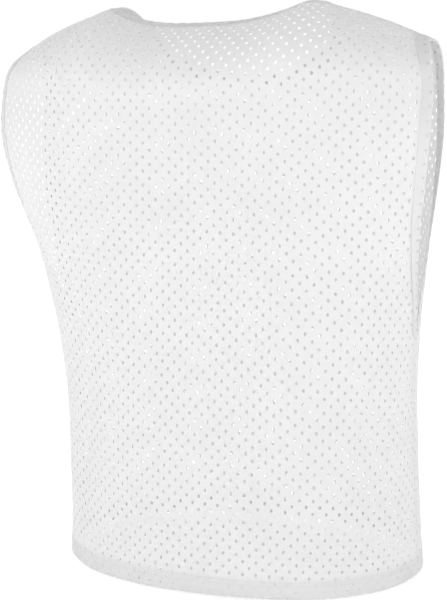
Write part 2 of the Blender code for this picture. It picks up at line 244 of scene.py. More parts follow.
# ---------------------------------------------------------------- camera and light

AZIMUTH = np.radians(202.6)
DISTANCE = 1.536
ORBIT_Y = -0.02  # y of the upright line that the camera stands off from
EYE_HEIGHT = -0.0629
AIM = Vector((0.0059, -0.0158, -0.3105))
ROLL = np.radians(1.21)
FOCAL = 86.94
SENSOR = 36.0

# The floor glows less in an oval under the bib: painted shade of the bib on the floor
FLOOR_HEIGHT = -0.6015
FLOOR_RADIUS = 30.0
FLOOR_GLOW = 0.6
PAINTED_SHADE_GLOW = 0.10
UNDER_MIDDLE = (0.0, -0.037, 0.0)
UNDER_REACH = (0.235, 0.155, 1.0)
UNDER_EDGE = 0.3  # share of that reach over which the glow changes
SKY_SIDES = 0.97
SKY_TOP = 0.62

# Round soft lights that face the bib: degrees round it from the front towards the wearer's left,
# degrees up, metres and watts
Lamp = namedtuple("Lamp", "name azimuth elevation distance size power")
LAMPS = (
    Lamp("key_light", 192, 0, 2.6, 1.4, 6.4),
    Lamp("fill_light", 150, 4, 2.8, 1.8, 2.2),
    Lamp("side_light", 285, 5, 2.6, 1.6, 1.6),
)
LIGHT_AIM = Vector((0, 0, -0.3))

# ---------------------------------------------------------------- values used throughout

OTHER = {"back": "front", "front": "back"}
OUTWARD = {"back": 1.0, "front": -1.0}  # the way along y that each panel faces
STEP = 0.0005  # a short way along the cloth, that its directions are taken over
LAYER_STEP = CLOTH + LAYER_GAP  # from a layer's middle to the next one's
FOLD_RADIUS = LAYER_STEP / 2  # of the middle of the cloth round the hem's fold
FOLD_LENGTH = np.pi * FOLD_RADIUS
STRIP_RADIUS = LAYER_STEP  # half the distance between the middles of a strip's two layers

# Where a curve is measured and with what weights, for its mean from 0 to 1
NODES, WEIGHTS = np.polynomial.legendre.leggauss(16)
NODES = (NODES + 1) / 2
WEIGHTS = WEIGHTS / 2


# ---------------------------------------------------------------- smooth curves through the tables


def column(table, name):
    return np.array([getattr(row, name) for row in table], float)


def knot_slopes(knots, values):
    step = np.diff(knots)
    rise = np.diff(values) / step
    inner = (rise[:-1] * step[1:] + rise[1:] * step[:-1]) / (step[1:] + step[:-1])
    return np.concatenate([rise[:1], inner, rise[-1:]])


def curve(at, knots, values, slopes):
    at = np.clip(at, knots[0], knots[-1])
    i = np.clip(np.searchsorted(knots, at, side="right") - 1, 0, len(knots) - 2)
    step = (knots[1:] - knots[:-1])[i]
    u = (at - knots[i]) / step
    start = (1 + 2 * u) * (1 - u) ** 2 * values[i] + u * (1 - u) ** 2 * step * slopes[i]
    end = u * u * (3 - 2 * u) * values[i + 1] - u * u * (1 - u) * step * slopes[i + 1]
    return start + end


def crest_size(name, s):
    knots, values = column(CRESTS, "s"), column(CRESTS, name)
    return curve(np.abs(s), knots, values, knot_slopes(knots, values))


def section_size(side, name, t):
    knots, values = column(SECTIONS, "height"), column(SECTIONS, f"{side}_{name}")
    slopes = knot_slopes(knots, values)
    across = knot_slopes(knots, column(SECTIONS, f"{OTHER[side]}_{name}"))
    slopes[UNDERARM_ROW] = (slopes[UNDERARM_ROW] + across[UNDERARM_ROW]) / 2
    return curve(t, knots, values, slopes)


def flatness(t):
    knots, values = column(SECTIONS, "height"), column(SECTIONS, "flatness")
    return curve(t, knots, values, knot_slopes(knots, values))


# ---------------------------------------------------------------- form of the cloth


def eased(share):
    share = np.clip(share, 0, 1)
    return share * share * (3 - 2 * share)


def fold_height(side, s, t):
    """How far the folds, creases and swells lift the cloth at (s, t)."""
    lift = np.zeros_like(s)
    for fold in FOLDS:
        if fold.side != side:
            continue
        along = (t - fold.low) / (fold.high - fold.low)
        ends = eased(np.minimum(along, 1 - along) / FOLD_ENDS)
        off = (s - fold.across - fold.lean * along) / fold.width
        lift += fold.depth * ends * np.exp(-off * off)
    for crease in CREASES:
        if crease.side != side:
            continue
        run = np.array([crease.s1 - crease.s0, crease.t1 - crease.t0])
        length = np.hypot(*run)
        ds, dt = s - crease.s0, t - crease.t0
        along = (ds * run[0] + dt * run[1]) / length**2
        off = (ds * run[1] - dt * run[0]) / (length * crease.width)
        ends = eased(np.minimum(along, 1 - along) / FOLD_ENDS)
        lift += crease.depth * ends * np.exp(-off * off)
    calm = eased((section_size(side, "half", t) - np.abs(s)) / CALM_EDGE)
    for swell in SWELLS:
        if swell.side != side:
            continue
        phase = 2 * np.pi * (swell.across * s + swell.up * t) + swell.start
        lift += swell.height * np.sin(phase) * calm
    return lift


def level_point(side, s, t):
    """x and y of the cloth at (s, t), before it bends over the shoulders."""
    half = section_size(side, "half", t)
    turn = np.radians(section_size(side, "turn", t))
    power = flatness(t)
    across = np.abs(s)

    def travel(length, part):
        share = length[..., None] * NODES / half[..., None]
        return length * (part(turn[..., None] * share ** power[..., None]) @ WEIGHTS)

    facing = turn * (across / half) ** power
    lift = fold_height(side, s, t)
    x = travel(across, np.cos) + lift * np.sin(facing)
    y = travel(half, np.sin) - travel(across, np.sin) + lift * np.cos(facing)
    return np.sign(s) * x, section_size(side, "edge", t) + OUTWARD[side] * y


def crest_form(side, s):
    """For each s: the t where the bend over the shoulder starts, its rise, its reach, and the x
    and y of the crest."""
    rise = crest_size(f"{side}_rise", s)
    start = LENGTH + crest_size("top", s) - rise
    crest_y = crest_size("y", s)
    body_y = level_point(side, s, start)[1]
    return start, rise, np.abs(body_y - crest_y), s - SHOULDER_PULL * s**3, crest_y


def bend_length(rise, reach, angle):
    return rise * angle + (reach - rise) * (angle / 2 - np.sin(2 * angle) / 4)


def bend_angle(rise, reach, length):
    angle = 2 * length / (rise + reach)
    for _ in range(8):
        slope = rise + (reach - rise) * np.sin(angle) ** 2
        angle = np.clip(angle - (bend_length(rise, reach, angle) - length) / slope, 0, np.pi / 2)
    return angle


def shoulder_top(side, s):
    """t of the crest, where the shoulder seam lies."""
    start, rise, reach, _, _ = crest_form(side, np.asarray(s, float))
    return start + bend_length(rise, reach, np.pi / 2)


def point(side, s, t):
    """The place of (s, t) on the outer face of a panel."""
    s, t = np.broadcast_arrays(np.asarray(s, float), np.asarray(t, float))
    x, y = level_point(side, s, t)
    start, rise, reach, crest_x, crest_y = crest_form(side, s)
    angle = bend_angle(rise, reach, np.maximum(t - start, 0))
    x = crest_x + (x - crest_x) * np.cos(angle)
    y = crest_y + (y - crest_y) * np.cos(angle)
    z = np.minimum(t, start) + rise * np.sin(angle) - LENGTH
    return np.stack([x, y, z], axis=-1)


def outward(side, s, t):
    """The unit direction that the outer face has at (s, t)."""
    s, t = np.broadcast_arrays(np.asarray(s, float), np.asarray(t, float))
    low = np.maximum(t - STEP, 0)
    up = point(side, s, low + STEP) - point(side, s, low)
    across = point(side, s + STEP, t) - point(side, s - STEP, t)
    normal = np.cross(up, across) * OUTWARD[side]
    return normal / np.linalg.norm(normal, axis=-1, keepdims=True)


def turned_place(side, s, t):
    """The middle of the cloth at (s, t) and its outer face's direction. Below t = 0 the cloth goes
    round the hem's fold and up again inside."""
    s, t = np.broadcast_arrays(np.asarray(s, float), np.asarray(t, float))
    angle = np.clip(-t / FOLD_RADIUS, 0, np.pi)
    height = np.where(t >= 0, t, np.maximum(-t - FOLD_LENGTH, 0))
    normal = outward(side, s, height)
    depth = CLOTH / 2 + FOLD_RADIUS * (1 - np.cos(angle))
    place = point(side, s, height) - normal * depth[..., None]
    place[..., 2] -= FOLD_RADIUS * np.sin(angle)
    facing = normal * np.cos(angle)[..., None]
    facing[..., 2] -= np.sin(angle)
    return place, facing


# ---------------------------------------------------------------- outline of the pieces


def neck_line(side, inset, count):
    """s and t of the neckline, moved into the cloth by inset, from the wearer's right high
    shoulder point to the left one."""
    angle = np.linspace(-np.pi / 2, np.pi / 2, count)
    half = NECK_HALF + inset
    low = NECK_LOW[side] - inset
    high = float(shoulder_top(side, half))
    s = half * np.sin(angle) * (1 + NECK_SQUARE[side] * np.cos(angle) ** 2)
    t = low + (high - low) * (1 - np.cos(angle))
    return s, np.minimum(t, shoulder_top(side, s))


def armhole_half(side, height):
    """Half the width of the armhole's opening, on the cloth, at a height above its bottom."""
    cut = section_size(side, "half", UNDERARM) - section_size(side, "half", UNDERARM + height)
    knots, values = column(CUTS, "height"), column(CUTS, side)
    cut += curve(height, knots, values, knot_slopes(knots, values))
    rounding = np.clip(1 - height / ARMHOLE_RADIUS, 0, 1)
    return cut * np.sqrt(1 - rounding**2)


def armhole_side(side):
    """v and t along one panel's half of an armhole, from its bottom to the shoulder seam. v is the
    distance from the line of the side seam, positive on the back."""
    top = float(shoulder_top(side, SHOULDER_TIP)) - UNDERARM
    bottom = ARMHOLE_RADIUS * (1 - np.cos(np.linspace(0, np.pi / 2, BOTTOM_POINTS)))
    height = np.concatenate([bottom, np.linspace(ARMHOLE_RADIUS, top, ARMHOLE_POINTS)[1:]])
    v = armhole_half(side, height)
    v[-1] = section_size(side, "half", UNDERARM) - SHOULDER_TIP
    return OUTWARD[side] * v, UNDERARM + height


def armhole_line(inset):
    """v and t along a whole armhole, moved into the cloth by inset, from the shoulder seam down
    the back, round the bottom and up the front. At the shoulder it moves along the seam."""
    back_v, back_t = armhole_side("back")
    front_v, front_t = armhole_side("front")
    v = np.concatenate([back_v[::-1], front_v[1:]])
    t = np.concatenate([back_t[::-1], front_t[1:]])
    along_v, along_t = np.gradient(v), np.gradient(t)
    length = np.hypot(along_v, along_t)
    into = np.stack([-along_t, along_v], axis=-1) * inset / length[:, None]
    into[len(back_v) - 1] = (0, -inset)
    for side in ("back", "front"):
        mine = OUTWARD[side] * v >= 0
        top = float(shoulder_top(side, SHOULDER_TIP))
        step_up = float(shoulder_top(side, SHOULDER_TIP - inset)) - top
        seam = np.array([OUTWARD[side] * inset, step_up])
        near = eased(1 - (top - t) / TIP_BLEND)[:, None] * mine[:, None]
        into = into * (1 - near) + seam * near
    return v + into[:, 0], t + into[:, 1]


def armhole_half_line(side, inset):
    """s and t of one panel's half of an armhole line, on the +X side, from the bottom up."""
    v, t = armhole_line(inset)
    bottom = len(v) // 2
    v, t = (v[bottom::-1], t[bottom::-1]) if side == "back" else (v[bottom:], t[bottom:])
    s = section_size("back", "half", np.minimum(t, UNDERARM)) - np.abs(v)
    return s, np.minimum(t, shoulder_top(side, s))


def panel_outline(side):
    """The cut of one panel, anticlockwise from the lower corner at -s: the turned-up edge, a side
    seam, an armhole, a shoulder seam, the neck, and the same back down."""
    inset = BAND_WIDTH - TUCK
    arm_s, arm_t = armhole_half_line(side, inset)
    turned_t = [-HEM_DEPTH - FOLD_LENGTH, -FOLD_LENGTH]
    low_t = np.concatenate([turned_t, np.linspace(0, arm_t[0], SIDE_POINTS)[:-1]])
    height = np.where(low_t < 0, np.maximum(-low_t - FOLD_LENGTH, 0), low_t)
    low_s = section_size(side, "half", height)
    neck_s, neck_t = neck_line(side, inset, NECK_POINTS)
    seam_s = np.linspace(arm_s[-1], neck_s[-1], SHOULDER_POINTS)[1:-1]
    right_s = np.concatenate([low_s, arm_s, seam_s])
    right_t = np.concatenate([low_t, arm_t, shoulder_top(side, seam_s)])
    s = np.concatenate([right_s, neck_s[::-1], -right_s[::-1]])
    t = np.concatenate([right_t, neck_t[::-1], right_t[::-1]])
    return np.stack([s, t], axis=-1)


# ---------------------------------------------------------------- perforated cloth


def lengths_along(line):
    """The length of a line up to each of its points."""
    return np.concatenate([[0], np.cumsum(np.linalg.norm(np.diff(line, axis=0), axis=1))])


def values_at(at, length, values):
    """Each column of values at the lengths in at."""
    return np.stack([np.interp(at, length, part) for part in values.T], axis=-1)


def spaced(line, step):
    """Points at an even step along a line, its first and last kept."""
    length = lengths_along(line)
    at = np.linspace(0, length[-1], max(2, int(round(length[-1] / step)) + 1))
    return values_at(at, length, line)


def even_loop(outline, step):
    """A closed outline's points at an even step, its sharp corners kept."""
    ring = np.concatenate([outline, outline[:1]])
    way = np.diff(ring, axis=0)
    heading = np.arctan2(way[:, 1], way[:, 0])
    bend = np.abs((heading - np.roll(heading, 1) + np.pi) % (2 * np.pi) - np.pi)
    corners = np.flatnonzero(bend > SHARP_BEND)
    runs = []
    for a, b in zip(corners, np.append(corners[1:], corners[0] + len(outline))):
        run = np.take(outline, np.arange(a, b + 1), axis=0, mode="wrap")
        runs.append(spaced(run, step)[:-1])
    return np.concatenate(runs)


def inside(points, polygon):
    """Which points lie in a polygon."""
    odd = np.zeros(len(points), bool)
    x, y = points[:, 0], points[:, 1]
    for (x0, y0), (x1, y1) in zip(polygon, np.roll(polygon, -1, axis=0)):
        if y0 == y1:
            continue
        spans = (y0 > y) != (y1 > y)
        odd ^= spans & (x < (x1 - x0) * (y - y0) / (y1 - y0) + x0)
    return odd


def knit_place(cut, u, v):
    """The place in a cut of the knit's own (u, v), along its rows and its columns."""
    grain = GRAINS[cut]
    rise, lean = np.radians(grain.rise), np.radians(grain.lean)
    across = grain.s + u * np.cos(rise) - v * np.sin(lean)
    up = grain.t + u * np.sin(rise) + v * np.cos(lean) - grain.bow * u**2
    for drift in DRIFTS:
        if drift.cut == cut:
            wave = np.sin(2 * np.pi * (drift.rows * u + drift.columns * v) + drift.start)
            across = across + drift.across * wave
            up = up + drift.up * wave
    return np.stack([across, up], axis=-1)


def lattice(cut, edge):
    """The corners of each hole, and the plain spots midway between the holes, over a cut's box."""
    low, high = edge.min(axis=0), edge.max(axis=0)
    reach = int(2 * LATTICE_REACH * np.linalg.norm(high - low) / PITCH_ACROSS)
    i, j = np.meshgrid(np.arange(-reach, reach + 1), np.arange(-reach, reach + 1))
    u, v = i * PITCH_ACROSS / 2, j * PITCH_UP / 2
    places = knit_place(cut, u, v)
    within = ((places > low) & (places < high)).all(axis=-1)
    hole = within & ((i + j) % 2 == 0)
    plain = within & ((i + j) % 2 == 1)
    round_it = 2 * np.pi * (np.arange(HOLE_CORNERS) + 0.5) / HOLE_CORNERS
    ring_u = u[hole][:, None] + HOLE_ACROSS / 2 * np.cos(round_it)
    ring_v = v[hole][:, None] + HOLE_UP / 2 * np.sin(round_it)
    return knit_place(cut, ring_u, ring_v), places[plain]


def distance_to(points, others):
    """The distance from each point to the nearest of the others."""
    least = np.full(len(points), np.inf)
    for other in others:
        least = np.minimum(least, np.linalg.norm(points - other, axis=1))
    return least


def loop_lines(first, count):
    """The edges of a closed loop of points."""
    return [(first + k, first + (k + 1) % count) for k in range(count)]


def perforated(cut, outline, folds):
    """Flat net of a piece of the knit: its points and triangles, with its holes left out. folds
    are lines that the net follows between the holes."""
    edge = even_loop(outline, EDGE_STEP)
    fine_edge = even_loop(outline, EDGE_STEP / 4)
    rings, plain = lattice(cut, edge)
    centres = rings.mean(axis=1)
    room = HOLE_UP / 2 + HOLE_MARGIN
    clear = inside(centres, edge) & (distance_to(centres, fine_edge) > room)
    rings, centres = rings[clear], centres[clear]
    plain = plain[inside(plain, edge) & (distance_to(plain, fine_edge) > EDGE_STEP / 2)]
    points = [edge, rings.reshape(-1, 2), plain]
    hole_of = [
        np.full(len(edge), -1),
        np.repeat(np.arange(len(rings)), HOLE_CORNERS),
        np.full(len(plain), -1),
    ]
    lines = loop_lines(0, len(edge))
    for k in range(len(rings)):
        lines += loop_lines(len(edge) + k * HOLE_CORNERS, HOLE_CORNERS)
    count = len(edge) + rings.shape[0] * HOLE_CORNERS + len(plain)
    for fold in folds:
        off_holes = distance_to(fold, centres) > room
        number = count - 1 + np.cumsum(off_holes)
        joined = off_holes[:-1] & off_holes[1:]
        lines += [(int(k), int(k) + 1) for k in number[:-1][joined]]
        points.append(fold[off_holes])
        hole_of.append(np.full(off_holes.sum(), -1))
        count += int(off_holes.sum())
    hole_of = np.concatenate(hole_of)
    flat = [Vector(p) for p in np.concatenate(points)]
    found = delaunay_2d_cdt(flat, lines, [], 1, MERGE_DISTANCE, True)
    net = np.array([tuple(v) for v in found[0]])
    triangles = np.array([tuple(f) for f in found[2]])
    owner = np.array([hole_of[source[0]] if source else -1 for source in found[3]])[triangles]
    in_hole = (owner[:, 0] >= 0) & (owner == owner[:, :1]).all(axis=1)
    triangles = triangles[inside(net[triangles].mean(axis=1), edge) & ~in_hole]
    a, b, c = net[triangles[:, 0]], net[triangles[:, 1]], net[triangles[:, 2]]
    turn = np.cross(b - a, c - a)
    triangles[turn < 0] = triangles[turn < 0][:, ::-1]
    triangles = triangles[np.abs(turn) > 2 * LEAST_AREA]
    used, index = np.unique(triangles, return_inverse=True)
    return net[used], index.reshape(-1, 3)


def rim_edges(triangles):
    """The directed edges that only one triangle has."""
    ends = np.concatenate([triangles[:, [0, 1]], triangles[:, [1, 2]], triangles[:, [2, 0]]])
    _, index, count = np.unique(
        np.sort(ends, axis=1), axis=0, return_inverse=True, return_counts=True
    )
    return ends[count[index.reshape(-1)] == 1]


def new_object(name, vertices, faces, material):
    """A smooth object from points and faces."""
    mesh = bpy.data.meshes.new(name)
    mesh.from_pydata(vertices, [], faces)
    mesh.materials.append(material)
    mesh.shade_smooth()
    obj = bpy.data.objects.new(name, mesh)
    bpy.context.scene.collection.objects.link(obj)
    return obj


def set_cut(obj, flat):
    """Gives an object's corners their flat places, one for each of its points."""
    loops = np.zeros(len(obj.data.loops), np.int32)
    obj.data.loops.foreach_get("vertex_index", loops)
    uv = obj.data.uv_layers.new(name="cut")
    uv.data.foreach_set("uv", flat[loops].reshape(-1))


def cloth_object(name, net, triangles, place, facing, flip, material):
    """A piece of cloth from its flat net, its middle's places and its outer face's directions."""
    outer = place + facing * CLOTH / 2
    inner = place - facing * CLOTH / 2
    count = len(net)
    rim = rim_edges(triangles)
    faces = np.concatenate(
        [
            triangles,
            triangles[:, ::-1] + count,
            np.stack([rim[:, 1], rim[:, 0], rim[:, 0] + count], axis=-1),
            np.stack([rim[:, 1], rim[:, 0] + count, rim[:, 1] + count], axis=-1),
        ]
    )
    if flip:
        faces = faces[:, ::-1]
    obj = new_object(name, np.concatenate([outer, inner]), faces.tolist(), material)
    obj.data.set_sharp_from_angle(angle=EDGE_ANGLE)
    set_cut(obj, np.concatenate([net, net]))
    return obj


def fold_lines(low, high, heights):
    """Lines along a cut at the given heights, just short of its two ends."""
    along = np.linspace(low + STEP, high - STEP, int(2 * (high - low) / EDGE_STEP))
    return [np.stack([along, np.full_like(along, height)], axis=-1) for height in heights]


def panel_cloth(side, material):
    half = float(section_size(side, "half", 0.0))
    folds = fold_lines(-half, half, (0, -FOLD_LENGTH / 2, -FOLD_LENGTH))
    net, triangles = perforated(side, panel_outline(side), folds)
    top = shoulder_top(side, net[:, 0])
    place, facing = turned_place(side, net[:, 0], np.minimum(net[:, 1], top))
    return cloth_object(f"{side}_cloth", net, triangles, place, facing, side == "back", material)


# ---------------------------------------------------------------- neck and armhole strips


def strip_cloth(name, finished, seam, finished_normal, seam_normal, material):
    """A strip of the knit folded over a cut edge. finished and seam are the places of its fold and
    of its seam with the panel, station by station."""
    length = lengths_along((finished + seam) / 2)
    half = BAND_WIDTH + FOLD_LENGTH / 2
    outline = np.array([[0, -half], [length[-1], -half], [length[-1], half], [0, half]])
    folds = fold_lines(0, length[-1], (-FOLD_LENGTH / 2, 0, FOLD_LENGTH / 2))
    net, triangles = perforated(name, outline, folds)
    at, w = net[:, 0], net[:, 1]
    angle = np.clip(w / (FOLD_LENGTH / 2), -1, 1) * np.pi / 2
    share = np.clip((np.abs(w) - FOLD_LENGTH / 2) / BAND_WIDTH, 0, 1)[:, None]
    edge, foot = values_at(at, length, finished), values_at(at, length, seam)
    edge_normal = values_at(at, length, finished_normal)
    foot_normal = values_at(at, length, seam_normal)
    out = edge - foot
    out = out / np.linalg.norm(out, axis=1, keepdims=True)
    normal = edge_normal * (1 - share) + foot_normal * share
    normal = normal / np.linalg.norm(normal, axis=1, keepdims=True)
    centre = edge * (1 - share) + foot * share - normal * (CLOTH / 2)
    facing = normal * np.sin(angle)[:, None] + out * np.cos(angle)[:, None]
    place = centre + normal * (STRIP_RADIUS * np.sin(angle))[:, None]
    place += out * (STRIP_RADIUS * (np.cos(angle) - 1))[:, None]
    return cloth_object(name, net, triangles, place, facing, False, material)


def strip_lines(side, line):
    """The places and outward directions along a line of a panel."""
    s, t = line
    return point(side, s, t), outward(side, s, t)


def ring_of(back, front):
    """One loop from a line along the back and one along the front, both from the same end."""
    return np.concatenate([back, front[-2::-1]])


def neck_strip(material):
    parts = {}
    for name, inset in (("finished", 0.0), ("seam", BAND_WIDTH)):
        back = strip_lines("back", neck_line("back", inset, STRIP_POINTS))
        front = strip_lines("front", neck_line("front", inset, STRIP_POINTS))
        parts[name] = [ring_of(back[k], front[k]) for k in range(2)]
    (finished, finished_normal), (seam, seam_normal) = parts["finished"], parts["seam"]
    return strip_cloth("neck_strip", finished, seam, finished_normal, seam_normal, material)


def armhole_strip(name, mirror, material):
    parts = {}
    flip = np.array([mirror, 1, 1])
    for key, inset in (("finished", 0.0), ("seam", BAND_WIDTH)):
        back = strip_lines("back", armhole_half_line("back", inset))
        front = strip_lines("front", armhole_half_line("front", inset))
        loops = [ring_of(back[k], front[k]) * flip for k in range(2)]
        parts[key] = [loop[::-mirror] for loop in loops]
    (finished, finished_normal), (seam, seam_normal) = parts["finished"], parts["seam"]
    return strip_cloth(name, finished, seam, finished_normal, seam_normal, material)


# ---------------------------------------------------------------- sewing


def stitch_rows(name, rows, material):
    """Short raised threads along rows, each a line of places and their outward directions."""
    vertices, faces = [], []
    corners, rings = STITCH_CORNERS, len(STITCH_RISE)
    rise = np.array(STITCH_RISE) * STITCH_THICK / 2
    thick = np.array(STITCH_ROUND) * STITCH_THICK / 2
    round_it = 2 * np.pi * np.arange(corners) / corners
    for places, normals in rows:
        length = lengths_along(places)
        count = int(length[-1] / STITCH_PITCH)
        for k in range(count):
            at = (k + 0.5) * length[-1] / count + np.linspace(-0.5, 0.5, rings) * STITCH_LENGTH
            line, up = values_at(at, length, places), values_at(at, length, normals)
            along = line[-1] - line[0]
            aside = np.cross(along / np.linalg.norm(along), up)
            base = len(vertices)
            for r in range(rings):
                centre = line[r] + up[r] * rise[r]
                for angle in round_it:
                    off = np.cos(angle) * aside[r] + np.sin(angle) * up[r]
                    vertices.append(centre + off * thick[r])
            for r in range(rings - 1):
                for c in range(corners):
                    a, b = base + r * corners + c, base + r * corners + (c + 1) % corners
                    faces.append((a, b, b + corners, a + corners))
            faces.append(tuple(base + c for c in reversed(range(corners))))
            last = base + (rings - 1) * corners
            faces.append(tuple(last + c for c in range(corners)))
    return new_object(name, vertices, faces, material)


def hem_rows(side):
    rows = []
    for t in HEM_STITCHES:
        half = float(section_size(side, "half", t))
        s = np.linspace(-half, half, HEM_POINTS)
        rows.append((point(side, s, t), outward(side, s, t)))
    return rows


def strip_seam_rows(side):
    """The rows on a panel beside its neck strip and its two armhole strips."""
    inset = BAND_WIDTH + SEAM_STITCHES
    rows = [strip_lines(side, neck_line(side, inset, STRIP_POINTS))]
    places, normals = strip_lines(side, armhole_half_line(side, inset))
    for mirror in (1, -1):
        flip = np.array([mirror, 1, 1])
        rows.append((places * flip, normals * flip))
    return rows


def seam_allowance(name, places, normals, inward, material):
    """The cloth turned in along a sewn seam, laid flat inside: a strip beside the seam."""
    rows = []
    for corner in ALLOWANCE_CORNERS:
        depth = LAYER_STEP + corner.face * 2 * CLOTH
        rows.append(places + inward * (corner.across * ALLOWANCE) - normals * depth)
    net = np.stack(rows, axis=1)
    count, corners = net.shape[:2]
    faces = []
    for i in range(count - 1):
        for j in range(corners):
            a, b = i * corners + j, i * corners + (j + 1) % corners
            faces.append((a, b, b + corners, a + corners))
    faces.append(tuple(reversed(range(corners))))
    faces.append(tuple((count - 1) * corners + j for j in range(corners)))
    along, across = ALLOWANCE_CELL
    flat_along = np.repeat(np.arange(count) * along, corners)
    flat_across = np.tile(np.arange(corners) * across, count)
    obj = new_object(name, net.reshape(-1, 3), faces, material)
    set_cut(obj, np.stack([flat_along, flat_across], axis=-1))
    return obj


def side_allowance(name, mirror, material):
    t = np.linspace(HEM_DEPTH, UNDERARM - ALLOWANCE_END, SIDE_POINTS)
    half = section_size("back", "half", t)
    places, normals = point("back", half, t), outward("back", half, t)
    inward = point("back", half - STEP * 4, t) - places
    inward /= np.linalg.norm(inward, axis=1, keepdims=True)
    flip = np.array([mirror, 1, 1])
    return seam_allowance(name, places * flip, normals * flip, inward * flip, material)


def shoulder_allowance(name, mirror, material):
    s = np.linspace(NECK_HALF + BAND_WIDTH, SHOULDER_TIP - BAND_WIDTH, SHOULDER_POINTS)
    top = shoulder_top("back", s)
    places, normals = point("back", s, top), outward("back", s, top - STEP)
    inward = point("back", s, top - 4 * STEP) - places
    inward /= np.linalg.norm(inward, axis=1, keepdims=True)
    flip = np.array([mirror, 1, 1])
    return seam_allowance(name, places * flip, normals * flip, inward * flip, material)


# ---------------------------------------------------------------- materials


def knit_material(name, tone, roughness, through):
    """White knit: fine wales and courses in relief, slightly uneven in tone, with a soft sheen.
    through is the share of the light that it lets through."""
    material = bpy.data.materials.new(name)
    material.use_nodes = True
    nodes, links = material.node_tree.nodes, material.node_tree.links
    shader = nodes["Principled BSDF"]
    output = nodes["Material Output"]
    place = nodes.new("ShaderNodeUVMap")
    place.uv_map = "cut"
    wales = nodes.new("ShaderNodeTexWave")
    wales.wave_type = "BANDS"
    wales.bands_direction = "X"
    wales.inputs["Scale"].default_value = WALE_SCALE
    wales.inputs["Distortion"].default_value = WALE_WANDER
    wales.inputs["Detail"].default_value = 2.0
    wales.inputs["Detail Scale"].default_value = 2.5
    courses = nodes.new("ShaderNodeTexWave")
    courses.wave_type = "BANDS"
    courses.bands_direction = "Y"
    courses.inputs["Scale"].default_value = COURSE_SCALE
    courses.inputs["Distortion"].default_value = COURSE_WANDER
    yarn = nodes.new("ShaderNodeTexNoise")
    yarn.inputs["Scale"].default_value = YARN_SCALE
    yarn.inputs["Detail"].default_value = 3.0
    patches = nodes.new("ShaderNodeTexNoise")
    patches.inputs["Scale"].default_value = TONE_SCALE
    patches.inputs["Detail"].default_value = 4.0
    for texture in (wales, courses, yarn, patches):
        links.new(place.outputs["UV"], texture.inputs["Vector"])
    ramp = nodes.new("ShaderNodeValToRGB")
    for end, position, shade in zip(ramp.color_ramp.elements, TONE_RANGE, (DARKER * tone, tone)):
        end.position = position
        end.color = (shade, shade, shade, 1)
    links.new(patches.outputs["Fac"], ramp.inputs["Fac"])
    links.new(ramp.outputs["Color"], shader.inputs["Base Color"])
    weave = nodes.new("ShaderNodeMath")
    weave.operation = "MULTIPLY"
    links.new(wales.outputs["Fac"], weave.inputs[0])
    links.new(courses.outputs["Fac"], weave.inputs[1])
    fuzz = nodes.new("ShaderNodeMath")
    fuzz.operation = "MULTIPLY_ADD"
    fuzz.inputs[1].default_value = YARN_SHARE
    links.new(yarn.outputs["Fac"], fuzz.inputs[0])
    links.new(weave.outputs["Value"], fuzz.inputs[2])
    bump = nodes.new("ShaderNodeBump")
    bump.inputs["Strength"].default_value = KNIT_RELIEF_STRENGTH
    bump.inputs["Distance"].default_value = KNIT_RELIEF
    links.new(fuzz.outputs["Value"], bump.inputs["Height"])
    links.new(bump.outputs["Normal"], shader.inputs["Normal"])
    shader.inputs["Roughness"].default_value = roughness
    shader.inputs["Sheen Weight"].default_value = 0.15
    shader.inputs["Sheen Roughness"].default_value = 0.5
    shader.inputs["Specular IOR Level"].default_value = 0.25
    back_light = nodes.new("ShaderNodeBsdfTranslucent")
    back_light.inputs["Color"].default_value = (tone, tone, tone, 1)
    mix = nodes.new("ShaderNodeMixShader")
    mix.inputs["Fac"].default_value = through
    links.new(shader.outputs["BSDF"], mix.inputs[1])
    links.new(back_light.outputs["BSDF"], mix.inputs[2])
    links.new(mix.outputs["Shader"], output.inputs["Surface"])
    return material


def thread_material():
    material = bpy.data.materials.new("white_thread")
    material.use_nodes = True
    nodes, links = material.node_tree.nodes, material.node_tree.links
    shader = nodes["Principled BSDF"]
    shader.inputs["Base Color"].default_value = (THREAD_TONE, THREAD_TONE, THREAD_TONE, 1)
    shader.inputs["Roughness"].default_value = 0.55
    shader.inputs["Sheen Weight"].default_value = 0.2
    place = nodes.new("ShaderNodeTexCoord")
    twist = nodes.new("ShaderNodeTexWave")
    twist.bands_direction = "DIAGONAL"
    twist.inputs["Scale"].default_value = TWIST_SCALE
    bump = nodes.new("ShaderNodeBump")
    bump.inputs["Strength"].default_value = THREAD_RELIEF_STRENGTH
    bump.inputs["Distance"].default_value = THREAD_RELIEF
    links.new(place.outputs["Object"], twist.inputs["Vector"])
    links.new(twist.outputs["Fac"], bump.inputs["Height"])
    links.new(bump.outputs["Normal"], shader.inputs["Normal"])
    return material


# ---------------------------------------------------------------- stage


